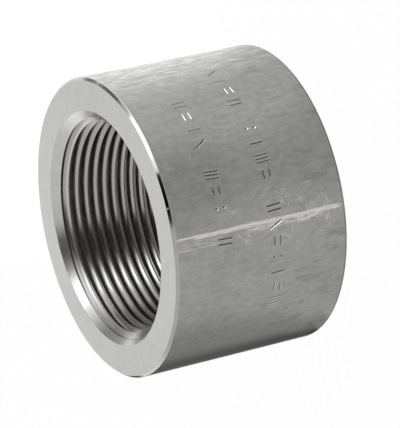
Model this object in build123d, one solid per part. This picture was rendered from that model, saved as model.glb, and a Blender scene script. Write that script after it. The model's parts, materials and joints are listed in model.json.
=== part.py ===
from build123d import *
import os
from math import atan2, ceil, cos, degrees, radians, tan

# Half coupling for a 1 1/2 inch pipe: one forged ring of steel, turned, drilled and tapped.
# Millimetres. It stands on its plain weld end, with the origin at the centre of that end,
# and Z runs up the bore and out of the threaded mouth.

# Body
body_diameter = 63.5
body_length = 39.5
mouth_chamfer = 0.55  # 45 degree break round the outside of the mouth
weld_end_break = 0.2  # light break of both edges of the weld end

# Internal pipe thread: right hand, tapering in from the mouth
turns_per_inch = 11.5
pitch_diameter = 46.287  # at the mouth
thread_taper = 1 / 16  # loss of diameter for each millimetre of depth
thread_angle = 60
crest_flat = 0.14  # left on the thread's crest by the tap
thread_depth = 22  # from the mouth to the last full thread
runout_turns = 2  # turns over which the tap's lead lets the groove fade out
start_angle = 2  # where the groove reaches the mouth, turning from X towards Y

# Holes that are cut before the thread
drill_allowance = 0.57  # the drilled hole's diameter is this much under the crests at the mouth
countersink_allowance = 1.6  # the countersink's diameter is this much over the roots at the mouth
countersink_angle = 90

# Worked out from the thread's form: the flanks of a groove meet in a sharp edge at both sides
pitch = 25.4 / turns_per_inch
flank_slope = tan(radians(thread_angle / 2))
taper = thread_taper / 2
root_radius = pitch_diameter / 2 + pitch / 4 / flank_slope
sharp_crest_radius = pitch_diameter / 2 - pitch / 4 / flank_slope
crest_cut = crest_flat / 2 / flank_slope
crest_radius = sharp_crest_radius + crest_cut

body_radius = body_diameter / 2
bore_radius = crest_radius - drill_allowance / 2
countersink_radius = root_radius + countersink_allowance / 2
countersink_slope = tan(radians(countersink_angle / 2))

top_of_groove = body_length + pitch  # the cut starts in the air, one turn above the mouth
last_full_thread = body_length - thread_depth
end_of_groove = last_full_thread - runout_turns * pitch


def tapered(radius, height):
    """A radius given at the mouth, taken down the thread's taper to another height."""
    return radius - (body_length - height) * taper


def turned_blank():
    """The ring before tapping: outside, chamfer, countersink, tapered crests and drilled hole."""
    countersink_depth = (countersink_radius - crest_radius) / (countersink_slope - taper)
    crest_depth = (crest_radius - bore_radius) / taper
    outline = [
        (bore_radius + weld_end_break, 0),
        (body_radius - weld_end_break, 0),
        (body_radius, weld_end_break),
        (body_radius, body_length - mouth_chamfer),
        (body_radius - mouth_chamfer, body_length),
        (countersink_radius, body_length),
        (countersink_radius - countersink_depth * countersink_slope, body_length - countersink_depth),
        (bore_radius, body_length - crest_depth),
        (bore_radius, weld_end_break),
    ]
    half_section = make_face(Polyline([(radius, 0, height) for radius, height in outline], close=True))
    return revolve(half_section, Axis.Z)


def groove_root(height):
    """Radius of the groove's bottom: the full root, or less where the tap's lead made the groove."""
    full = tapered(root_radius, height)
    if height >= last_full_thread:
        return full
    faded = (last_full_thread - height) / (last_full_thread - end_of_groove)
    clear_of_wall = bore_radius - crest_cut / 2
    return full + faded * (clear_of_wall - full)


def groove_section(height):
    """The groove's three corners as radius and height: its lower lip, its root and its upper lip."""
    lip = tapered(crest_radius - crest_cut / 2, height)
    root = groove_root(height)
    half_width = (root - lip) * flank_slope
    return [(lip, height - half_width), (root, height), (lip, height + half_width)]


def turn_at(height):
    """Degrees about Z at which the groove's centre line passes a height."""
    return start_angle + 360 * (height - body_length) / pitch


def groove_edge(low, high, turns, start):
    """A corner's path from one radius and height to another: a helix on a cone."""
    rise = high[1] - low[1]
    cone = degrees(atan2(high[0] - low[0], rise))
    path = Helix(rise / turns / cos(radians(cone)), rise, low[0], (0, 0, low[1]), (0, 0, 1), cone)
    return path.edge().rotate(Axis.Z, start)


def groove_walls(low_height, high_height):
    """The groove's two flanks and open side between two heights, a turn or less apart."""
    turns = (high_height - low_height) / pitch
    corners = zip(groove_section(low_height), groove_section(high_height))
    edges = [groove_edge(low, high, turns, turn_at(low_height)) for low, high in corners]
    return [Face.make_surface_from_curves(edges[i - 1], edges[i]) for i in range(len(edges))]


def groove_end(height):
    """The flat section that closes the groove at one end."""
    corners = [Vector(radius, 0, z).rotate(Axis.Z, turn_at(height)) for radius, z in groove_section(height)]
    return Face(Wire.make_polygon(corners, close=True))


def steps(low, high):
    """Heights from low to high, a turn of the thread or less apart."""
    count = ceil((high - low) / pitch)
    return [low + (high - low) * i / count for i in range(count + 1)]


def thread_groove():
    """What the tap removes: one tapered helical groove, a turn at a time, with its run-out."""
    faces = [groove_end(end_of_groove), groove_end(top_of_groove)]
    for low, high in ((end_of_groove, last_full_thread), (last_full_thread, top_of_groove)):
        heights = steps(low, high)
        for start, end in zip(heights, heights[1:]):
            faces += groove_walls(start, end)
    return Solid(Shell(faces))


half_coupling = turned_blank() - thread_groove()

os.makedirs("parts", exist_ok=True)
export_step(half_coupling, "parts/half_coupling.step")
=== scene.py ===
import json
from math import atan2, cos, pi, radians, remainder, sin, tan
from random import Random

import bmesh
import bpy
from bpy.props import FloatProperty, FloatVectorProperty, IntProperty, PointerProperty
from mathutils import Matrix, Vector


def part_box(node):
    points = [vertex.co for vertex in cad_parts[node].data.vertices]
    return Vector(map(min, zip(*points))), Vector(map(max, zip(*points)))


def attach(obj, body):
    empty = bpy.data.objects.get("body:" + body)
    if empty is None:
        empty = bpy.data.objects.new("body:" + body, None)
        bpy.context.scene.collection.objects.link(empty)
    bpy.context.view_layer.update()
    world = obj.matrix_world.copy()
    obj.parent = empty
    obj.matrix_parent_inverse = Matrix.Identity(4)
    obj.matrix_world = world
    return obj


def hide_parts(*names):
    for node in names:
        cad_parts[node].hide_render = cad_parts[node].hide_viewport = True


bl_info = {
    "name": "Half coupling",
    "version": (1, 0, 0),
    "blender": (4, 5, 0),
    "location": "3D View > Sidebar > Half coupling",
    "description": "A threaded half coupling of stainless steel, standing on its weld end",
    "category": "Object",
}

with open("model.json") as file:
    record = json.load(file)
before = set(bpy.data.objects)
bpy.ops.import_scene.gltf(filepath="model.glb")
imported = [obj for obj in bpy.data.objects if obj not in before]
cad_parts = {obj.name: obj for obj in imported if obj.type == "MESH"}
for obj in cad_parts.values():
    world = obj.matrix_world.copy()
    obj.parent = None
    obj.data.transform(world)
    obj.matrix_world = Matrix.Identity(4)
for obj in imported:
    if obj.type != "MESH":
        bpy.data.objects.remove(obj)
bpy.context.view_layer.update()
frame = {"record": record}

# Lengths are in metres. The ring stands on its weld end, with its bore's axis on Z.
# A hair is a slack too small to see.
MM = 0.001
HAIR = 0.01 * MM
NODE = "half_coupling"
PIECE = "tapped_ring"

lowest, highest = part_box(NODE)
outside_radius = min(-lowest.x, -lowest.y, highest.x, highest.y)
mounts = {mount["name"]: mount for mount in frame["record"]["mounts"]}
drilled_radius = mounts["pipe_thread"]["dims"]["r_mm"] * MM

# The finishes, in the order of the piece's material slots
FINISHES = [
    "pickled_outside",
    "turned_mouth",
    "turned_chamfer",
    "turned_countersink",
    "tapped_thread",
    "sawn_weld_end",
    "struck_mark",
]


def length_property(name, description, default):
    """A length in metres, shown in the units of the scene."""
    return FloatProperty(
        name=name, description=description, default=default, precision=5, subtype="DISTANCE", unit="LENGTH"
    )


def angle_property(name, description, degrees):
    """An angle, given here in degrees."""
    return FloatProperty(
        name=name, description=description, default=radians(degrees), subtype="ANGLE", unit="ROTATION"
    )


def colour_property(name, description, default):
    """A linear colour."""
    return FloatVectorProperty(
        name=name, description=description, default=default, size=3, min=0, max=1, subtype="COLOR"
    )


def factor_property(name, description, default):
    """A share from 0 to 1."""
    return FloatProperty(name=name, description=description, default=default, min=0, max=1, subtype="FACTOR")


def level_property(name, description, default):
    """A brightness, where 1 shows as white."""
    return FloatProperty(name=name, description=description, default=default, min=0)


class RingSizes(bpy.types.PropertyGroup):
    """The turned ring, before it is tapped."""

    diameter: length_property("Outside diameter", "Diameter of the ring", 2 * outside_radius)
    length: length_property("Length", "Height of the ring from weld end to mouth", highest.z - lowest.z)
    mouth_chamfer: length_property("Mouth chamfer", "45 degree break round the mouth", 0.55 * MM)
    weld_end_break: length_property("Weld end break", "Break of both edges of the weld end", 0.2 * MM)
    countersink_diameter: length_property("Countersink", "Diameter of the 45 degree countersink", 49.8 * MM)
    edge_rounding: length_property("Edge rounding", "How far the turned edges are rounded", 0.05 * MM)
    pilot_wall: length_property("Pilot wall", "Metal left in the hole until the thread is cut", 0.5 * MM)
    sides: IntProperty(name="Sides", description="Steps round the ring", default=360, min=24)
    wall_steps: IntProperty(name="Wall steps", description="Steps up the outside", default=10, min=1)


class ThreadSizes(bpy.types.PropertyGroup):
    """The tapered pipe thread."""

    pitch: length_property("Pitch", "Height of one turn", 25.4 / 11.5 * MM)
    pitch_diameter: length_property("Pitch diameter", "Pitch diameter at the mouth", 46.287 * MM)
    crest_flat: length_property("Crest flat", "Flat left on the crests at the mouth", 0.14 * MM)
    root_rounding: length_property("Root rounding", "How far the root is filled in", 0.26 * MM)
    crest_wear: length_property("Crest wear", "How far the crests are worn back", 0.15 * MM)
    worn_face: length_property("Worn face", "How deep the worn 45 degree faces reach", 0.5 * MM)
    worn_depth: length_property("Worn depth", "How deep the wear reaches down the flanks", 1.05 * MM)
    worn_share: factor_property("Worn share", "Most of the groove's depth that the wear may reach", 0.69)
    easing: angle_property("Easing", "Angle at which the worn faces ease into the flanks", 37.5)
    depth: length_property("Depth", "From the mouth to the last full turn", 22 * MM)
    runout: FloatProperty(name="Run-out", description="Turns over which it fades out", default=2.0, min=0.1)
    taper: FloatProperty(name="Taper", description="Loss of diameter with depth", default=1 / 16)
    flank_angle: angle_property("Flank angle", "Angle between the flanks", 60)
    start: angle_property("Start", "Where the groove reaches the mouth", 2)
    steps: IntProperty(name="Steps", description="Steps in one turn", default=144, min=24)


class MarkSizes(bpy.types.PropertyGroup):
    """Two rows of plain punch marks on the outside."""

    height: length_property("Height", "Height of a mark", 3.4 * MM)
    width: length_property("Width", "Width of a mark", 2.2 * MM)
    stroke: length_property("Stroke", "Width of a stroke at the surface", 0.52 * MM)
    depth: length_property("Depth", "Depth of a stroke", 0.24 * MM)
    faintest: factor_property("Faintest", "Share of the depth that the faintest marks have", 0.75)
    spacing: angle_property("Spacing", "Angle from one mark to the next", 6.2)
    upper_row: length_property("Upper row", "Height of the upper row's middle", 28.1 * MM)
    lower_row: length_property("Lower row", "Height of the lower row's middle", 16.2 * MM)
    seed: IntProperty(name="Seed", description="Varies how the marks were struck", default=5)


class SteelColours(bpy.types.PropertyGroup):
    """Colours of the steel's finishes."""

    pickled: colour_property("Pickled", "Dull grey outside", (0.50, 0.50, 0.49))
    # Also the broad painted shade by the mouth, besides the real smudges.
    pickled_dark: colour_property("Pickled dark", "Darker smudges outside", (0.36, 0.36, 0.35))
    turned: colour_property("Turned", "Freshly turned steel", (0.63, 0.63, 0.62))
    chamfer: colour_property("Chamfer", "Steel of the break round the mouth", (0.5, 0.5, 0.49))
    flank: colour_property("Flank", "The thread's flanks", (0.445, 0.435, 0.42))
    # Root: painted shade, darker towards the bottom of the thread's groove.
    root: colour_property("Root", "Dirt at the bottom of the thread", (0.37, 0.355, 0.34))
    # Crest: rubbed steel with a painted highlight on the thread's crests.
    crest: colour_property("Crest", "The thread's rubbed crests", (0.535, 0.525, 0.51))
    struck: colour_property("Struck", "Steel that a punch has pressed smooth", (0.66, 0.66, 0.65))
    # This colour is painted shade at the bottom of the marks and along the weld end, and also the dark specks
    # outside.
    struck_dark: colour_property("Struck dark", "Dirt at the bottom of the marks", (0.17, 0.165, 0.16))
    rubbed: colour_property("Rubbed", "The rubbed line along the outside", (0.92, 0.885, 0.86))
    # Scuffed: fine scratches, and also a painted sheen of pale wisps on the lit side.
    scuffed: colour_property("Scuffed", "Pale wisps and fine scratches outside", (0.79, 0.79, 0.78))


class StudioSettings(bpy.types.PropertyGroup):
    """Floor, light and camera."""

    floor: colour_property("Floor", "Colour of the floor", (0.86, 0.86, 0.86))
    floor_size: length_property("Floor size", "Width of the floor", 8.0)
    floor_glow: factor_property("Floor glow", "How white the floor is where it is seen", 0.975)
    mirrored_glow: factor_property("Mirrored glow", "How plainly steel mirrors the graded floor", 0.85)
    near_floor: level_property("Near floor", "Brightness of the mirrored floor in front of the ring", 0.66)
    far_floor: level_property("Far floor", "Brightness of the mirrored floor behind the ring", 1.2)
    backdrop_level: level_property("Backdrop", "Brightness of the sky behind the ring", 1.19)
    front_level: level_property("Front", "Brightness of the sky in front of the ring", 0.18)
    overhead_level: level_property("Overhead", "Brightness of the sky overhead", 0.78)
    zenith_level: level_property("Zenith", "Brightness of the sky straight over the ring", 0.07)
    key_level: level_property("Key softbox", "Brightness of the softbox over the ring", 1.79)
    side_level: level_property("Side softbox", "Brightness of the softbox beside the ring", 1.69)
    elevation: angle_property("Elevation", "Height of the camera over the horizon", 25.972)
    roll: angle_property("Roll", "Turn of the camera about its view", 102.635)
    distance: length_property("Distance", "From the camera to the middle of the ring", 599.07 * MM)
    lens: FloatProperty(name="Lens", description="Focal length in millimetres", default=239.95)
    shift_x: FloatProperty(name="Shift X", description="Sideways shift of the lens", default=0.0286)
    shift_y: FloatProperty(name="Shift Y", description="Upward shift of the lens", default=-0.0097)


def new_object(name, bm):
    """Puts a bmesh into a new object of the scene."""
    mesh = bpy.data.meshes.new(name)
    bm.to_mesh(mesh)
    bm.free()
    made = bpy.data.objects.new(name, mesh)
    bpy.context.scene.collection.objects.link(made)
    return made


def settle(piece):
    """Makes the result of the piece's modifiers its own mesh."""
    bpy.context.view_layer.update()
    shaped = bpy.data.meshes.new_from_object(piece.evaluated_get(bpy.context.evaluated_depsgraph_get()))
    piece.modifiers.clear()
    piece.data = shaped


def cut_away(piece, cutter):
    """Takes the cutter's space out of the piece and removes the cutter."""
    boolean = piece.modifiers.new("cut", "BOOLEAN")
    boolean.operation = "DIFFERENCE"
    boolean.solver = "MANIFOLD"
    boolean.object = cutter
    settle(piece)
    bpy.data.objects.remove(cutter)
    if not piece.data.polygons:
        raise RuntimeError(f"nothing is left of {piece.name} after a cut")


# An edge that turns by more than this is a rim of the blank, and is rounded
RIM_ANGLE = radians(20)


def turned_ring(ring):
    """The blank: outside, chamfers, countersink and a pilot hole that the thread's core will open."""
    radius = ring.diameter / 2
    mouth = ring.countersink_diameter / 2
    pilot = drilled_radius - ring.pilot_wall
    inner_break = drilled_radius + ring.weld_end_break
    corners = [
        (inner_break, 0),
        (radius - ring.weld_end_break, 0),
        (radius, ring.weld_end_break),
        (radius, ring.length - ring.mouth_chamfer),
        (radius - ring.mouth_chamfer, ring.length),
        (mouth, ring.length),
        (pilot, ring.length - (mouth - pilot)),
        (pilot, inner_break - pilot),
    ]
    bm = bmesh.new()
    points = [bm.verts.new((across, 0, height)) for across, height in corners]
    outline = [bm.edges.new(pair) for pair in zip(points, points[1:] + points[:1])]
    bmesh.ops.subdivide_edges(bm, edges=[outline[2]], cuts=ring.wall_steps - 1)
    bmesh.ops.spin(
        bm, geom=bm.verts[:] + bm.edges[:], axis=(0, 0, 1), angle=2 * pi, steps=ring.sides, use_merge=True
    )
    bmesh.ops.remove_doubles(bm, verts=bm.verts, dist=1e-7)
    bmesh.ops.recalc_face_normals(bm, faces=bm.faces)
    rims = [edge for edge in bm.edges if edge.calc_face_angle(0) > RIM_ANGLE and is_level(edge)]
    widest_bore = drilled_radius + ring.edge_rounding
    outer = [edge for edge in rims if Vector(edge.verts[0].co.xy).length > widest_bore]
    bmesh.ops.bevel(
        bm, geom=outer, affect="EDGES", offset=ring.edge_rounding, segments=2, profile=0.5, material=-1
    )
    return new_object(PIECE, bm)


def is_level(edge):
    """True for an edge that runs round the ring at one height."""
    low, high = (vert.co.z for vert in edge.verts)
    return abs(high - low) < 1e-6


# Stations across half of the groove, counted from its root to the middle of the crest
ROOT, ROOT_EDGE, FLANK_TOP, CREST_CORNER, CREST_EDGE, CREST = range(6)


def thread_point(thread, station, centre, top):
    """Radius and height of a point of the thread, at a station either side of the groove's centre."""
    slope = tan(thread.flank_angle / 2)
    sharp_depth = thread.pitch / 4 / slope
    lead = thread.taper / 2

    def crest_at(height):
        tapered = thread.pitch_diameter / 2 - sharp_depth + thread.crest_flat / 2 / slope
        return max(tapered - (top - height) * lead, drilled_radius)

    tip = thread.pitch_diameter / 2 + sharp_depth - (top - centre) * lead
    last_full = top - thread.depth
    faded = min(max((last_full - centre) / (thread.runout * thread.pitch), 0), 1)
    crest = crest_at(centre)
    root = tip - thread.root_rounding
    root += faded * (crest - root)
    half_crest = (tip - crest) * slope
    half_root = min((tip - root) * slope, half_crest)
    wear = thread.crest_wear * (1 - faded)
    facet = (thread.worn_face - thread.crest_wear) * (1 - faded)
    worn_depth = min(thread.worn_depth, thread.worn_share * (root - crest))
    shoulder = max(worn_depth - thread.worn_face, 0) * (1 - faded)
    widest_ridge = thread.pitch / 2 * 0.98
    ridge = min(widest_ridge, half_crest + facet - (wear + facet) * slope)
    side = 1 if station > 0 else -1
    step = abs(station)
    if step == ROOT:
        return root, centre
    if step == ROOT_EDGE:
        return root - thread.root_rounding * (1 - faded) / 2, centre + half_root * side
    if step == FLANK_TOP:
        height = centre + (ridge - facet - shoulder * tan(thread.easing)) * side
        return crest_at(height) + wear + facet + shoulder, height
    if step == CREST_CORNER:
        height = centre + (ridge - facet) * side
        return crest_at(height) + wear + facet, height
    height = centre + (ridge if step == CREST_EDGE else thread.pitch / 2) * side
    return crest_at(height) + wear, height


def thread_core(ring, thread):
    """The space that drilling and tapping clear: a tapered screw that runs into a plain rod below."""
    top = ring.length
    spare_turns = 1.5
    beyond = spare_turns * thread.pitch
    bottom_turn = top - thread.depth - (thread.runout + spare_turns) * thread.pitch
    turns = int((top + beyond + thread.pitch - bottom_turn) / thread.pitch) + 1
    first = top + thread.pitch * round((bottom_turn - top) / thread.pitch)

    bm = bmesh.new()
    stations = 2 * CREST
    line = [
        bm.verts.new((drilled_radius, 0, first + thread.pitch * (i / stations - 0.5)))
        for i in range(stations + 1)
    ]
    edges = [bm.edges.new(pair) for pair in zip(line, line[1:])]
    bmesh.ops.transform(bm, matrix=Matrix.Rotation(thread.start, 4, "Z"), verts=line)
    rise = (0, 0, thread.pitch / thread.steps)
    bmesh.ops.spin(bm, geom=line + edges, axis=(0, 0, 1), dvec=rise, angle=2 * pi, steps=thread.steps)
    first_turn = bm.verts[:] + bm.edges[:] + bm.faces[:]
    for i in range(1, turns):
        copied = bmesh.ops.duplicate(bm, geom=first_turn)["geom"]
        lifted = [item for item in copied if isinstance(item, bmesh.types.BMVert)]
        bmesh.ops.translate(bm, vec=(0, 0, i * thread.pitch), verts=lifted)
    bmesh.ops.remove_doubles(bm, verts=bm.verts, dist=1e-6)

    for vert in bm.verts:
        turn = atan2(vert.co.y, vert.co.x)
        part_turn = (turn - thread.start) / (2 * pi)
        above = vert.co.z - first - part_turn * thread.pitch
        offset = remainder(above, thread.pitch)
        station = round(offset / thread.pitch * stations)
        radius, height = thread_point(thread, station, vert.co.z - offset, top)
        vert.co = (radius * cos(turn), radius * sin(turn), height)

    for height, outward in ((bottom_turn + HAIR, -1), (top + beyond, 1)):
        bmesh.ops.bisect_plane(
            bm,
            geom=bm.verts[:] + bm.edges[:] + bm.faces[:],
            dist=1e-8,
            plane_co=(0, 0, height),
            plane_no=(0, 0, outward),
            clear_outer=True,
        )
    rim = [edge for edge in bm.edges if edge.is_boundary and edge.verts[0].co.z < top / 2]
    rod = bmesh.ops.extrude_edge_only(bm, edges=rim)["geom"]
    rod_end = [item for item in rod if isinstance(item, bmesh.types.BMVert)]
    for vert in rod_end:
        vert.co.z = -thread.pitch
    bmesh.ops.holes_fill(bm, edges=[edge for edge in bm.edges if edge.is_boundary])
    bmesh.ops.recalc_face_normals(bm, faces=bm.faces)
    return new_object("thread_core", bm)


def placed_outside(radius, angle, height, lean):
    """Where a mark drawn flat, X across and Y up, lies on the ring's outside."""
    face_out = Matrix(((0, 0, 1, 0), (1, 0, 0, 0), (0, 1, 0, 0), (0, 0, 0, 1)))
    where = Matrix.Translation((radius, 0, height))
    return Matrix.Rotation(angle, 4, "Z") @ where @ face_out @ Matrix.Rotation(lean, 4, "Z")


# A mark's cutter reaches as far over the surface as below it, and narrows to this share of its width
BLUNT_EDGE = 0.06
BLUNT_POINT = 0.15

# The tilt of a leaning bar
LEANING = radians(28)


def add_bar(bm, marks, place, middle, length, lean):
    """One straight stroke with a V-shaped section and drawn-in ends."""
    made = bmesh.ops.create_cube(bm, size=1)["verts"]
    widest = marks.stroke * 2
    bmesh.ops.scale(bm, verts=made, vec=(widest, length, 2 * marks.depth))
    edge = [vert for vert in made if vert.co.z < 0]
    bmesh.ops.scale(bm, verts=edge, vec=(BLUNT_EDGE, 1 - marks.stroke / length, 1))
    turn = Matrix.Translation((*middle, 0)) @ Matrix.Rotation(lean, 4, "Z")
    bmesh.ops.transform(bm, matrix=place @ turn, verts=made)


def add_dot(bm, marks, place, middle):
    """One round punch mark with a blunt point."""
    widest = marks.stroke * 1.5
    made = bmesh.ops.create_cone(
        bm, segments=12, radius1=widest * BLUNT_POINT, radius2=widest, depth=2 * marks.depth, cap_ends=True
    )["verts"]
    bmesh.ops.transform(bm, matrix=place @ Matrix.Translation((*middle, 0)), verts=made)


def add_mark(bm, marks, kind, place):
    """One plain tally mark: upright, leaning or level bars, or round dots."""
    tall = marks.height
    wide = marks.width
    bars = {"bar": (0,), "pair": (-wide / 4, wide / 4), "three": (-wide / 3, 0, wide / 3), "leaning": (0,)}
    if kind in bars:
        lean = LEANING if kind == "leaning" else 0
        for across in bars[kind]:
            add_bar(bm, marks, place, (across, 0), tall, lean)
    elif kind == "level":
        for up in (-tall / 5, tall / 5):
            add_bar(bm, marks, place, (0, up), wide, radians(90))
    elif kind == "dot":
        add_dot(bm, marks, place, (0, 0))
    elif kind == "dots":
        for up in (-tall / 4, tall / 4):
            add_dot(bm, marks, place, (0, up))


# Each row of marks: the angle of its first mark in degrees, and its marks in turn, "" for a gap
ROWS = {
    "upper_row": (-48.5, ["pair", "level", "bar", "leaning", "", "three", "level", "dots", "", "pair"]),
    "lower_row": (
        -34,
        ["leaning", "bar", "level", "pair", "", "dots", "bar", "three", "level", "", "pair"]
        + ["leaning", "level", "dots", "bar", "level", "three"],
    ),
}


def mark_cutters(ring, marks):
    """All the strokes of the two rows, as one cutter."""
    bm = bmesh.new()
    struck = Random(marks.seed)
    off_line = 0.12 * MM
    off_upright = radians(4)
    for row, (first, kinds) in ROWS.items():
        for i, kind in enumerate(kinds):
            angle = radians(first) - i * marks.spacing
            height = getattr(marks, row) + struck.uniform(-off_line, off_line)
            lean = struck.uniform(-off_upright, off_upright)
            lifted = marks.depth * struck.uniform(0, 1 - marks.faintest)
            place = placed_outside(ring.diameter / 2 + lifted, angle, height, lean)
            add_mark(bm, marks, kind, place)
    bmesh.ops.recalc_face_normals(bm, faces=bm.faces)
    return new_object("mark_cutters", bm)


# Small dents, one by one: its angle in degrees, then its distance from the axis,
# its depth below the mouth and the radius of its ball, in millimetres
DENTS = [
    (227, 27.0, 0.0, 0.16),
    (297, 27.2, 0.0, 0.14),
    (345, 30.3, 0.0, 0.13),
    (262, 31.5, 0.28, 0.20),
    (272, 31.5, 0.30, 0.22),
    (249, 31.5, 0.25, 0.12),
]


def dent_cutters(ring):
    """Small round dents in the mouth's face and chamfer, as one cutter."""
    bm = bmesh.new()
    standing_out = 0.6
    for degrees, across, below, size in DENTS:
        made = bmesh.ops.create_icosphere(bm, subdivisions=2, radius=size * MM)["verts"]
        around = Vector((cos(radians(degrees)), sin(radians(degrees)), 0)) * across * MM
        height = ring.length - below * MM + size * MM * standing_out
        bmesh.ops.translate(bm, verts=made, vec=around + Vector((0, 0, height)))
    return new_object("dent_cutters", bm)


def finish_at(ring, centre, normal):
    """Which finish a face has, from where it is and how it lies."""
    skin = 0.004 * MM
    straight = 0.999
    across = Vector(centre.xy).length
    radial = normal.xy.dot(centre.xy) / across
    outside = ring.diameter / 2
    if centre.z < ring.weld_end_break + HAIR and across > drilled_radius:
        on_break = normal.z > -0.95 and across > outside - 2 * ring.weld_end_break
        return "pickled_outside" if on_break else "sawn_weld_end"
    if across < ring.countersink_diameter / 2 + 2 * HAIR and normal.z < straight:
        near_mouth = centre.z > ring.length - 3.5 * MM
        slanted = abs(normal.z - cos(pi / 4)) < 0.04
        return "turned_countersink" if near_mouth and slanted else "tapped_thread"
    if centre.z > ring.length - ring.edge_rounding and normal.z > 0.9:
        return "turned_mouth"
    if centre.z > ring.length - ring.mouth_chamfer - 2 * HAIR:
        return "turned_chamfer"
    if across < outside - skin or radial < straight:
        return "struck_mark"
    return "pickled_outside"


# An edge that turns by more than this stays crisp, and sooner beside the narrow chamfer
CRISP_ANGLE = radians(28)
CRISP_CHAMFER_ANGLE = radians(8)


def assign_finishes(piece, ring):
    """Gives each face its finish, and keeps the edges crisp."""
    piece.data.materials.clear()
    for finish in FINISHES:
        piece.data.materials.append(bpy.data.materials[finish])
    bm = bmesh.new()
    bm.from_mesh(piece.data)
    for face in bm.faces:
        face.smooth = True
        face.material_index = FINISHES.index(finish_at(ring, face.calc_center_median(), face.normal))
    chamfer = FINISHES.index("turned_chamfer")
    for edge in bm.edges:
        beside_chamfer = is_level(edge) and chamfer in [face.material_index for face in edge.link_faces]
        edge.smooth = edge.calc_face_angle(0) < (CRISP_CHAMFER_ANGLE if beside_chamfer else CRISP_ANGLE)
    bm.to_mesh(piece.data)
    bm.free()
    weighted = piece.modifiers.new("weighted normals", "WEIGHTED_NORMAL")
    weighted.keep_sharp = True
    settle(piece)


class NodeTree:
    """A short way to write a node tree: each call adds a node and returns its output."""

    def __init__(self, tree):
        self.tree = tree

    def add(self, kind, inputs, output=0, **settings):
        """Adds a node, sets it up and connects it. An input is another node's output or a plain value."""
        node = self.tree.nodes.new(kind)
        for name, value in settings.items():
            setattr(node, name, value)
        for name, value in inputs.items():
            self.put(node.inputs[name], value)
        return node.outputs[output]

    def put(self, socket, value):
        """Connects a socket to another node's output, or gives it a plain value."""
        if isinstance(value, bpy.types.NodeSocket):
            self.tree.links.new(value, socket)
        else:
            socket.default_value = value

    def math(self, operation, *values):
        """A Math node."""
        return self.add("ShaderNodeMath", dict(enumerate(values)), operation=operation)

    def plus(self, first, second):
        """The sum of two values."""
        return self.math("ADD", first, second)

    def minus(self, first, second):
        """The first value less the second."""
        return self.math("SUBTRACT", first, second)

    def times(self, first, second):
        """The product of two values."""
        return self.math("MULTIPLY", first, second)

    def larger(self, first, second):
        """The larger of two values."""
        return self.math("MAXIMUM", first, second)

    def vector_math(self, operation, *values, output="Value"):
        """A Vector Math node."""
        return self.add("ShaderNodeVectorMath", dict(enumerate(values)), output=output, operation=operation)

    def noise(self, vector, scale, detail=2.0, roughness=0.5):
        """Noise from 0 to 1."""
        inputs = {"Vector": vector, "Scale": scale, "Detail": detail, "Roughness": roughness}
        return self.add("ShaderNodeTexNoise", inputs)

    def ramp(self, value, low, high, start=0.0, end=1.0):
        """A smooth step from start to end, as the value goes from low to high."""
        inputs = {"Value": value, "From Min": low, "From Max": high, "To Min": start, "To Max": end}
        return self.add("ShaderNodeMapRange", inputs, interpolation_type="SMOOTHSTEP")

    def mix(self, share, first, second):
        """A mix of two colours."""
        node = self.tree.nodes.new("ShaderNodeMix")
        node.data_type = "RGBA"
        for socket, value in zip((node.inputs[0], node.inputs[6], node.inputs[7]), (share, first, second)):
            self.put(socket, value)
        return node.outputs[2]

    def stretch(self, vector, scale):
        """The same coordinates, squeezed or stretched along each axis."""
        return self.add("ShaderNodeMapping", {"Vector": vector, "Scale": scale})

    def group(self, name, inputs, output):
        """One of the shared effects, by its name."""
        node = self.tree.nodes.new("ShaderNodeGroup")
        node.node_tree = bpy.data.node_groups[name]
        for socket, value in inputs.items():
            self.put(node.inputs[socket], value)
        return node.outputs[output]

    def show(self, kind, surface):
        """Ends the tree with its output node."""
        self.put(self.tree.nodes.new(kind).inputs["Surface"], surface)

    def object_place(self):
        """The object's own coordinates, in millimetres."""
        place = self.add("ShaderNodeTexCoord", {}, output="Object")
        return self.stretch(place, (1 / MM, 1 / MM, 1 / MM))


def fresh_nodes(owner):
    """An empty node tree for a new material or world."""
    owner.use_nodes = True
    owner.node_tree.nodes.clear()
    return NodeTree(owner.node_tree)


def new_group(name, inputs, outputs):
    """A shader node group with named sockets, its nodes and its group input and output."""
    tree = bpy.data.node_groups.new(name, "ShaderNodeTree")
    for socket, value in inputs.items():
        made = tree.interface.new_socket(socket, in_out="INPUT", socket_type="NodeSocketFloat")
        made.default_value = value
    for socket in outputs:
        tree.interface.new_socket(socket, in_out="OUTPUT", socket_type="NodeSocketFloat")
    given = tree.nodes.new("NodeGroupInput")
    result = tree.nodes.new("NodeGroupOutput")
    return NodeTree(tree), given.outputs, result.inputs


def polar_group():
    """Where a point is on the ring: radius and height in millimetres, angle in degrees."""
    nodes, _, result = new_group("place_on_ring", {}, ["Radius", "Angle", "Height"])
    place = nodes.object_place()
    split = nodes.tree.nodes.new("ShaderNodeSeparateXYZ")
    nodes.put(split.inputs[0], place)
    flat = nodes.stretch(place, (1, 1, 0))
    nodes.put(result["Radius"], nodes.vector_math("LENGTH", flat))
    turn = nodes.math("ARCTAN2", split.outputs["Y"], split.outputs["X"])
    nodes.put(result["Angle"], nodes.math("DEGREES", turn))
    nodes.put(result["Height"], split.outputs["Z"])


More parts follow.
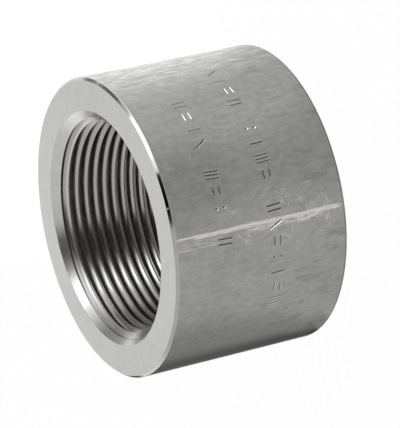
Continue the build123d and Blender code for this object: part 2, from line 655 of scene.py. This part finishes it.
def line_group():
    """A line along the outside: an uneven, streaky band at an angle, between two heights."""
    sockets = {"Angle": 0.0, "Width": 1.0, "Bottom": 0.0, "Top": 40.0}
    sockets |= {"Waver": 0.2, "Softness": 0.3, "Gaps": 0.5}
    fade = 2.0
    nodes, given, result = new_group("rubbed_line", sockets, ["Mask"])
    angle = nodes.group("place_on_ring", {}, "Angle")
    height = nodes.group("place_on_ring", {}, "Height")
    place = nodes.object_place()
    wander = nodes.minus(nodes.noise(nodes.stretch(place, (0.2, 0.2, 0.35)), 1.0), 0.5)
    fine = nodes.minus(nodes.noise(place, 3.0, detail=4), 0.5)
    one_degree = radians(outside_radius / MM)
    across = nodes.times(nodes.minus(angle, given["Angle"]), one_degree)
    across = nodes.plus(across, nodes.times(wander, given["Waver"]))
    across = nodes.plus(across, nodes.times(fine, nodes.times(given["Waver"], 0.6)))
    away = nodes.math("ABSOLUTE", across)
    edge = nodes.math("DIVIDE", given["Width"], 2.0)
    band = nodes.ramp(away, edge, nodes.plus(edge, given["Softness"]), 1.0, 0.0)
    above = nodes.ramp(height, given["Bottom"], nodes.plus(given["Bottom"], fade))
    below = nodes.ramp(height, nodes.minus(given["Top"], fade), given["Top"], 1.0, 0.0)
    strands = nodes.ramp(nodes.noise(nodes.stretch(place, (4, 4, 0.5)), 1.0, detail=4), 0.38, 0.62, 1.0, 0.0)
    whole = nodes.minus(1.0, nodes.times(strands, given["Gaps"]))
    mask = nodes.times(nodes.times(band, whole), nodes.times(above, below))
    nodes.put(result["Mask"], mask)


def streak_group():
    """Fine grain and smudges that run along the axis, small blotches and a broad mottle."""
    # Each noise: how long it is along the axis, its scale, its detail and its roughness
    noises = {
        "Streaks": (0.25, 1.6, 5, 0.6),
        "Smudges": (0.3, 0.5, 3, 0.5),
        "Blotches": (0.7, 0.8, 3, 0.6),
        "Mottle": (1, 0.11, 2, 0.5),
    }
    nodes, given, result = new_group("axial_streaks", {"Fineness": 1.0}, noises)
    place = nodes.object_place()
    for name, (drawn_out, scale, detail, roughness) in noises.items():
        drawn = nodes.stretch(place, (1, 1, drawn_out))
        nodes.put(result[name], nodes.noise(drawn, nodes.times(given["Fineness"], scale), detail, roughness))


def scratch_group():
    """Thin, nearly straight scratches here and there, each kind at its own lean."""
    nodes, given, result = new_group("fine_scratches", {"Width": 0.03}, ["Scratches"])
    place = nodes.object_place()
    scratches = 0.0
    # Each kind: its lean in degrees, and the scale of the patches where it shows
    for lean, patches in ((8, 0.12), (38, 0.17), (-47, 0.23), (82, 0.14)):
        turned = nodes.add("ShaderNodeMapping", {"Vector": place, "Rotation": (0, radians(lean), 0)})
        along = nodes.noise(nodes.stretch(turned, (0.9, 0.9, 0.06)), 1.0, 0)
        away = nodes.math("ABSOLUTE", nodes.minus(along, 0.5))
        line = nodes.ramp(away, nodes.times(given["Width"], 0.3), given["Width"], 1.0, 0.0)
        sparse = nodes.ramp(nodes.noise(place, patches, 3, 0.6), 0.5, 0.62)
        scratches = nodes.larger(nodes.times(line, sparse), scratches)
    nodes.put(result["Scratches"], scratches)


def speck_group():
    """Small dark specks, far apart and of different sizes."""
    nodes, given, result = new_group("dark_specks", {"Density": 0.35, "Size": 0.13}, ["Specks"])
    place = nodes.object_place()
    inputs = {"Vector": place, "Scale": given["Density"], "Randomness": 1.0}
    cell = nodes.add("ShaderNodeTexVoronoi", inputs, output="Distance")
    far = nodes.math("DIVIDE", cell, given["Density"])
    chance = nodes.ramp(nodes.noise(place, nodes.times(given["Density"], 0.7), 0), 0.45, 0.7)
    size = nodes.times(chance, given["Size"])
    speck = nodes.ramp(far, nodes.times(size, 0.4), nodes.plus(size, 0.001), 1.0, 0.0)
    nodes.put(result["Specks"], speck)


def groove_group():
    """How deep a point lies in the thread's groove: 0 at the crests, 1 at the root."""
    # Lengths in millimetres
    sockets = {"Crest": 22.3, "Depth": 1.85, "Top": 39.5, "Taper": 1 / 32}
    nodes, given, result = new_group("groove_depth", sockets, ["Share"])
    radius = nodes.group("place_on_ring", {}, "Radius")
    height = nodes.group("place_on_ring", {}, "Height")
    down = nodes.minus(given["Top"], height)
    crest = nodes.minus(given["Crest"], nodes.times(down, given["Taper"]))
    crest = nodes.larger(crest, drilled_radius / MM)
    share = nodes.math("DIVIDE", nodes.minus(radius, crest), given["Depth"])
    nodes.put(result["Share"], share)


def turned_group():
    """Fine lines left by a turning tool, round the axis, across a face or along a wall."""
    nodes, given, result = new_group("tool_lines", {"Spacing": 0.2}, ["Lines"])
    radius = nodes.group("place_on_ring", {}, "Radius")
    height = nodes.group("place_on_ring", {}, "Height")
    along = nodes.plus(radius, height)
    place = nodes.object_place()
    drift = nodes.times(nodes.noise(place, 0.06, 1), 0.15)
    count = nodes.math("DIVIDE", nodes.plus(along, drift), given["Spacing"])
    lines = nodes.add("ShaderNodeTexNoise", {"W": count, "Scale": 1.0, "Detail": 3.0}, noise_dimensions="1D")
    nodes.put(result["Lines"], lines)


def new_steel(name, base, roughness, bump=None, bump_depth=0.0, anisotropy=0.0):
    """A metal. Its base, roughness and bump are functions that add nodes and return their output."""
    nodes = fresh_nodes(bpy.data.materials.new(name))
    colour, rough, relief = base(nodes), roughness(nodes), bump(nodes) if bump else None
    shader = nodes.tree.nodes.new("ShaderNodeBsdfPrincipled")
    shader.inputs["Metallic"].default_value = 1.0
    shader.inputs["Anisotropic"].default_value = anisotropy
    nodes.put(shader.inputs["Base Color"], colour)
    nodes.put(shader.inputs["Roughness"], rough)
    if relief:
        inputs = {"Height": relief, "Distance": bump_depth, "Strength": 1.0}
        nodes.put(shader.inputs["Normal"], nodes.add("ShaderNodeBump", inputs, output="Normal"))
    if anisotropy:
        tangent = nodes.add("ShaderNodeTangent", {}, direction_type="RADIAL", axis="Z")
        nodes.put(shader.inputs["Tangent"], tangent)
    nodes.show("ShaderNodeOutputMaterial", shader.outputs[0])


def opaque(colour):
    """A colour with its fourth channel."""
    return (*colour, 1.0)


def pickled_outside(colours):
    """The dull outside: pickled grey with smudges, scratches, a rubbed line, a painted sheen of pale wisps on
    the lit side, and painted shade by the mouth and along the weld end.
    """
    # The strands of the rubbed line, each with its angle in degrees and how plainly it shows
    strands = [
        (-100.4, 1.0, {"Width": 0.5, "Top": 36.0, "Waver": 0.6, "Softness": 0.35, "Gaps": 0.45}),
        (-100.0, 1.0, {"Width": 0.12, "Bottom": 30.0, "Waver": 0.2, "Softness": 0.25, "Gaps": 0.2}),
        (-101.2, 0.8, {"Width": 0.9, "Bottom": 4.0, "Top": 24.0, "Waver": 1.2, "Softness": 0.8, "Gaps": 0.9}),
        (-104.4, 0.5, {"Width": 0.08, "Bottom": 29.0, "Waver": 0.2, "Softness": 0.2, "Gaps": 0.5}),
        (-102.3, 0.3, {"Width": 1.6, "Bottom": 28.0, "Waver": 0.6, "Softness": 0.5, "Gaps": 1.0}),
    ]
    # The middles of the patch of scratches and of the broad painted shade by the mouth, in degrees
    scratched_at = -99.0
    smudged_at = -80.0
    few_scratches = 0.12

    def beside(nodes, middle):
        angle = nodes.group("place_on_ring", {}, "Angle")
        return nodes.math("ABSOLUTE", nodes.minus(angle, middle))

    def rubbed(nodes):
        mask = 0.0
        for angle, strength, strand in strands:
            drawn = nodes.group("rubbed_line", {"Angle": angle, **strand}, "Mask")
            mask = nodes.larger(nodes.times(drawn, strength), mask)
        return mask

    def wisps(nodes):
        # Painted sheen: pale wisps only on the side that the lamps light.
        angle = nodes.group("place_on_ring", {}, "Angle")
        shoulder = nodes.times(nodes.ramp(angle, -48, -14), nodes.ramp(angle, 8, 30, 1.0, 0.0))
        ragged = nodes.noise(nodes.stretch(nodes.object_place(), (1.0, 1.0, 0.26)), 1.0, 7, 0.72)
        return nodes.times(shoulder, nodes.ramp(ragged, 0.4, 0.62))

    def scratches(nodes):
        height = nodes.group("place_on_ring", {}, "Height")
        lines = nodes.group("fine_scratches", {}, "Scratches")
        patch = nodes.ramp(beside(nodes, scratched_at), 3.0, 14.0, 0.6, few_scratches)
        return nodes.times(lines, nodes.ramp(height, 20.0, 30.0, patch, few_scratches))

    def base(nodes):
        height = nodes.group("place_on_ring", {}, "Height")
        low = nodes.ramp(height, 4.0, 26.0, 1.0, 0.35)
        smudges = nodes.group("axial_streaks", {}, "Smudges")
        share = nodes.times(nodes.ramp(smudges, 0.54, 0.7), nodes.times(low, 0.6))
        # Each noise: where it starts and ends to show, and how much it darkens
        noises = {"Streaks": (0.38, 0.64, 0.26), "Blotches": (0.37, 0.63, 0.34), "Mottle": (0.35, 0.65, 0.16)}
        for name, (start, end, darkens) in noises.items():
            noise = nodes.group("axial_streaks", {}, name)
            share = nodes.plus(share, nodes.times(nodes.ramp(noise, start, end), darkens))
        # Painted shade: the outside is darker in a broad patch by the mouth.
        near_mouth = nodes.ramp(height, 18.0, 34.0, 0.0, 0.42)
        near_smudge = nodes.ramp(beside(nodes, smudged_at), 8.0, 26.0, 1.0, 0.0)
        share = nodes.plus(share, nodes.times(near_mouth, near_smudge))
        grey = nodes.mix(share, opaque(colours.pickled), opaque(colours.pickled_dark))
        blotches = nodes.group("axial_streaks", {}, "Blotches")
        patchy = nodes.times(nodes.minus(blotches, 0.5), 0.5)
        # Painted shade: a thin dark band along the weld end, where the ring meets the floor.
        back_edge = nodes.ramp(nodes.plus(height, patchy), 0.3, 0.6, 0.8, 0.0)
        grey = nodes.mix(back_edge, grey, opaque(colours.struck_dark))
        specks = nodes.group("dark_specks", {}, "Specks")
        grey = nodes.mix(nodes.times(specks, 0.6), grey, opaque(colours.struck_dark))
        # Pale: real scratches, and the painted sheen of the wisps.
        pale = nodes.larger(wisps(nodes), scratches(nodes))
        grey = nodes.mix(pale, grey, opaque(colours.scuffed))
        return nodes.mix(rubbed(nodes), grey, opaque(colours.rubbed))

    def rough(nodes):
        mottle = nodes.group("axial_streaks", {}, "Mottle")
        plain = nodes.ramp(mottle, 0.3, 0.7, 0.29, 0.33)
        shiny = nodes.larger(rubbed(nodes), nodes.times(wisps(nodes), 0.8))
        return nodes.minus(plain, nodes.times(shiny, 0.1))

    def relief(nodes):
        streaks = nodes.group("axial_streaks", {"Fineness": 2.0}, "Streaks")
        grain = nodes.noise(nodes.stretch(nodes.object_place(), (0.6, 0.6, 1.6)), 5.0, 3)
        fine = nodes.plus(nodes.times(streaks, 0.6), nodes.times(grain, 0.5))
        return nodes.plus(fine, nodes.times(wisps(nodes), 1.2))

    new_steel("pickled_outside", base, rough, relief, bump_depth=0.013 * MM)


def tapped_thread(colours):
    """The thread: rubbed crests with a painted highlight, turned flanks, and painted shade towards the root.
    """

    def base(nodes):
        share = nodes.group("groove_depth", {}, "Share")
        lines = nodes.group("tool_lines", {"Spacing": 0.12}, "Lines")
        uneven = nodes.plus(share, nodes.times(nodes.minus(lines, 0.5), 0.15))
        # Painted shade: the flanks darken towards the root, by the groove's depth.
        flank = nodes.mix(nodes.ramp(uneven, 0.3, 0.95), opaque(colours.flank), opaque(colours.root))
        # Painted highlight on rubbed steel: the crests are lighter.
        return nodes.mix(nodes.ramp(uneven, 0.04, 0.16, 1.0, 0.0), flank, opaque(colours.crest))

    def rough(nodes):
        lines = nodes.group("tool_lines", {"Spacing": 0.2}, "Lines")
        return nodes.ramp(lines, 0.3, 0.7, 0.16, 0.21)

    def relief(nodes):
        return nodes.group("tool_lines", {"Spacing": 0.12}, "Lines")

    new_steel("tapped_thread", base, rough, relief, bump_depth=0.002 * MM)


def turned_face(name, colour, spacing, roughness, depth, anisotropy=0.0):
    """Bright turned steel with fine tool lines."""

    def darker(share):
        return opaque([channel * share for channel in colour])

    def base(nodes):
        lines = nodes.group("tool_lines", {"Spacing": spacing}, "Lines")
        blotches = nodes.group("axial_streaks", {"Fineness": 0.5}, "Blotches")
        specks = nodes.group("dark_specks", {"Density": 0.3, "Size": 0.2}, "Specks")
        share = nodes.plus(nodes.ramp(lines, 0.3, 0.7, 0.0, 0.6), nodes.ramp(blotches, 0.35, 0.65, 0.0, 0.4))
        turned = nodes.mix(share, opaque(colour), darker(0.88))
        return nodes.mix(nodes.times(specks, 0.7), turned, darker(0.35))

    def rough(nodes):
        mottle = nodes.group("axial_streaks", {"Fineness": 2.0}, "Mottle")
        return nodes.ramp(mottle, 0.3, 0.7, roughness - 0.01, roughness + 0.02)

    def relief(nodes):
        return nodes.group("tool_lines", {"Spacing": spacing}, "Lines")

    new_steel(name, base, rough, relief, depth, anisotropy)


def struck_mark(colours):
    """The marks: lips that the punch has pressed smooth, and painted shade at the bottom."""

    def base(nodes):
        radius = nodes.group("place_on_ring", {}, "Radius")
        below = nodes.minus(outside_radius / MM, radius)
        cloudy = nodes.noise(nodes.object_place(), 2.5, 3)
        patchy = nodes.times(nodes.minus(cloudy, 0.5), 0.08)
        # Painted shade: the marks darken towards their bottom.
        dirt = nodes.ramp(nodes.plus(below, patchy), 0.07, 0.2)
        return nodes.mix(dirt, opaque(colours.struck), opaque(colours.struck_dark))

    def rough(nodes):
        return nodes.ramp(nodes.noise(nodes.object_place(), 3.0), 0.3, 0.7, 0.28, 0.4)

    new_steel("struck_mark", base, rough)


def make_materials(colours):
    """All the finishes of the steel, and the effects that they share."""
    polar_group()
    line_group()
    streak_group()
    scratch_group()
    speck_group()
    groove_group()
    turned_group()
    pickled_outside(colours)
    tapped_thread(colours)
    turned_face(
        "turned_mouth", colours.turned, spacing=0.18, roughness=0.34, depth=0.002 * MM, anisotropy=0.4
    )
    turned_face("turned_chamfer", colours.chamfer, spacing=0.1, roughness=0.12, depth=0.001 * MM)
    turned_face("turned_countersink", colours.turned, spacing=0.15, roughness=0.26, depth=0.002 * MM)
    turned_face("sawn_weld_end", colours.turned, spacing=0.3, roughness=0.4, depth=0.004 * MM)
    struck_mark(colours)


class COUPLING_OT_ring(bpy.types.Operator):
    """Make the tapped ring"""

    bl_idname = "coupling.ring"
    bl_label = "Ring"

    def execute(self, context):
        ring = context.scene.coupling_ring
        make_materials(context.scene.coupling_colours)
        piece = turned_ring(ring)
        cut_away(piece, thread_core(ring, context.scene.coupling_thread))
        cut_away(piece, mark_cutters(ring, context.scene.coupling_marks))
        cut_away(piece, dent_cutters(ring))
        assign_finishes(piece, ring)
        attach(piece, "root")
        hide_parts(NODE)
        return {"FINISHED"}


def towards(azimuth, elevation):
    """A direction from the ring: degrees from X towards Y, and degrees over the horizon."""
    turn, rise = radians(azimuth), radians(elevation)
    return Vector((cos(rise) * cos(turn), cos(rise) * sin(turn), sin(rise)))


def graded_floor(nodes, place, studio):
    """How bright steel mirrors the floor: palest behind the ring, with painted shadows in three bands and by
    its foot.
    """
    middle = (0, 0, 0)
    foot = (-30.7 * MM, -8.2 * MM, 0)

    def facing(azimuth, start):
        away = nodes.vector_math("SUBTRACT", place, start, output="Vector")
        away = nodes.vector_math("NORMALIZE", away, output="Vector")
        return nodes.vector_math("DOT_PRODUCT", away, towards(azimuth, 0))

    level = nodes.ramp(facing(50, middle), 0.25, 1.1, studio.near_floor, studio.far_floor)
    from_foot = nodes.vector_math("DISTANCE", place, foot)
    # Painted shadow at the ring's foot, seen only in the steel.
    level = nodes.times(level, nodes.ramp(from_foot, 3 * MM, 9 * MM, 0.55, 1.0))
    # Each painted shadow band: its azimuth, where it starts, the cosines of its edge and core, and the light
    # left there
    bands = (
        (121, foot, 0.94, 0.985, 0.0),
        (150, foot, 0.6, 0.98, 0.55),
        (287, middle, 0.9, 1.0, 0.75),
    )
    for azimuth, start, edge, full, left in bands:
        level = nodes.times(level, nodes.ramp(facing(azimuth, start), edge, full, 1.0, left))
    return level


def floor_material(studio, bore):
    """A pale floor: white as seen, graded with painted shadows as steel mirrors it, plain paint at the bottom
    of the bore.
    """
    material = bpy.data.materials.new("pale_floor")
    nodes = fresh_nodes(material)
    path = nodes.tree.nodes.new("ShaderNodeLightPath")
    mirrored = nodes.larger(path.outputs["Is Glossy Ray"], path.outputs["Is Transmission Ray"])
    mirrored = nodes.times(mirrored, studio.mirrored_glow)
    seen = nodes.times(path.outputs["Is Camera Ray"], studio.floor_glow)
    place = nodes.add("ShaderNodeTexCoord", {}, output="Object")
    away = nodes.vector_math("LENGTH", place)
    open_floor = nodes.math("GREATER_THAN", away, bore)
    share = nodes.times(nodes.larger(seen, mirrored), open_floor)
    level = nodes.larger(path.outputs["Is Camera Ray"], graded_floor(nodes, place, studio))
    paint = nodes.add("ShaderNodeBsdfDiffuse", {"Color": opaque(studio.floor)})
    glow = nodes.add("ShaderNodeEmission", {"Color": (1, 1, 1, 1), "Strength": level})
    surface = nodes.add("ShaderNodeMixShader", {0: share, 1: paint, 2: glow})
    nodes.show("ShaderNodeOutputMaterial", surface)
    return material


def make_floor(studio, ring):
    """The floor that the ring stands on."""
    bm = bmesh.new()
    bmesh.ops.create_grid(bm, x_segments=1, y_segments=1, size=studio.floor_size / 2)
    floor = new_object("floor", bm)
    under_wall = drilled_radius / 2 + ring.diameter / 4
    floor.data.materials.append(floor_material(studio, under_wall))


def make_sky(context, studio):
    """Soft light from a pale backdrop behind the ring and from overhead, dim in front and in two gaps.

    A place in the sky is a direction, and its edges are cosines of the angle from it.
    """
    world = bpy.data.worlds.new("studio")
    context.scene.world = world
    nodes = fresh_nodes(world)
    place = nodes.add("ShaderNodeTexCoord", {}, output="Generated")

    def facing(azimuth, elevation):
        return nodes.vector_math("DOT_PRODUCT", place, towards(azimuth, elevation))

    level = nodes.ramp(facing(62, 0), -0.33, -0.03, studio.front_level, studio.backdrop_level)
    bands = ((0.26, 0.454, studio.overhead_level), (0.95, 0.99, studio.zenith_level))
    for edge, full, brightness in bands:
        share = nodes.ramp(facing(0, 90), edge, full)
        level = nodes.add("ShaderNodeMix", {"Factor": share, "A": level, "B": brightness}, output="Result")
    bright_patch = nodes.ramp(facing(32, 62), 0.965, 0.99, 0.0, 0.75)
    level = nodes.plus(level, bright_patch)
    gap_in_front = nodes.ramp(facing(296.9, 60.7), 0.936, 0.958, 1.0, 0.005)
    gap_behind = nodes.ramp(facing(38, 21), 0.915, 0.955, 1.0, 0.3)
    level = nodes.times(nodes.times(level, gap_in_front), gap_behind)
    path = nodes.tree.nodes.new("ShaderNodeLightPath")
    shown = nodes.mix(path.outputs["Is Camera Ray"], level, (1, 1, 1, 1))
    surface = nodes.add("ShaderNodeBackground", {"Color": shown, "Strength": 1.0})
    nodes.show("ShaderNodeOutputWorld", surface)


# How far the softboxes stand from the ring
SOFTBOX_DISTANCE = 0.6


def add_softbox(context, name, direction, size, brightness):
    """A rectangular lamp that faces the ring. Brightness is what a mirror would show, white at 1."""
    width, height = size
    lamp = bpy.data.lights.new(name, "AREA")
    lamp.shape = "RECTANGLE"
    lamp.size = width
    lamp.size_y = height
    lamp.energy = brightness * pi * width * height
    made = bpy.data.objects.new(name, lamp)
    context.scene.collection.objects.link(made)
    made.location = direction * SOFTBOX_DISTANCE
    made.rotation_mode = "QUATERNION"
    made.rotation_quaternion = direction.to_track_quat("Z", "Y")


def make_camera(context, studio, ring):
    """The camera, placed and turned as the photograph was taken."""
    data = bpy.data.cameras.new("camera")
    data.lens = studio.lens
    data.shift_x = studio.shift_x
    data.shift_y = studio.shift_y
    camera = bpy.data.objects.new("camera", data)
    context.scene.collection.objects.link(camera)
    tilt = Matrix.Rotation(pi / 2 - studio.elevation, 4, "X")
    roll = Matrix.Rotation(-studio.roll, 4, "Z")
    middle = Matrix.Translation((0, 0, ring.length / 2))
    camera.matrix_world = middle @ tilt @ roll @ Matrix.Translation((0, 0, studio.distance))
    context.scene.camera = camera


class COUPLING_OT_studio(bpy.types.Operator):
    """Set the floor, the light and the camera"""

    bl_idname = "coupling.studio"
    bl_label = "Studio"

    def execute(self, context):
        studio = context.scene.coupling_studio
        make_floor(studio, context.scene.coupling_ring)
        make_sky(context, studio)
        key_size, side_size = (0.353, 0.739), (1.04, 0.297)
        add_softbox(context, "key_softbox", towards(-18.6, 31.2), key_size, studio.key_level)
        add_softbox(context, "side_softbox", towards(-2.8, 11.9), side_size, studio.side_level)
        make_camera(context, studio, context.scene.coupling_ring)
        context.scene.view_settings.view_transform = "Standard"
        return {"FINISHED"}


class COUPLING_PT_sidebar(bpy.types.Panel):
    """Lists the coupling's operators and sizes."""

    bl_idname = "COUPLING_PT_sidebar"
    bl_label = "Half coupling"
    bl_space_type = "VIEW_3D"
    bl_region_type = "UI"
    bl_category = "Half coupling"

    def draw(self, context):
        layout = self.layout
        for operator in (COUPLING_OT_ring, COUPLING_OT_studio):
            layout.operator(operator.bl_idname)
        for name in PROPERTIES:
            box = layout.box()
            group = getattr(context.scene, name)
            for field in group.__annotations__:
                box.prop(group, field)


PROPERTIES = {
    "coupling_ring": RingSizes,
    "coupling_thread": ThreadSizes,
    "coupling_marks": MarkSizes,
    "coupling_colours": SteelColours,
    "coupling_studio": StudioSettings,
}

CLASSES = [*PROPERTIES.values(), COUPLING_OT_ring, COUPLING_OT_studio, COUPLING_PT_sidebar]


def register():
    for cls in CLASSES:
        bpy.utils.register_class(cls)
    for name, group in PROPERTIES.items():
        setattr(bpy.types.Scene, name, PointerProperty(type=group))


def unregister():
    for name in PROPERTIES:
        delattr(bpy.types.Scene, name)
    for cls in reversed(CLASSES):
        bpy.utils.unregister_class(cls)


def main():
    register()
    bpy.ops.coupling.ring()
    bpy.ops.coupling.studio()


if __name__ == "__main__":
    main()
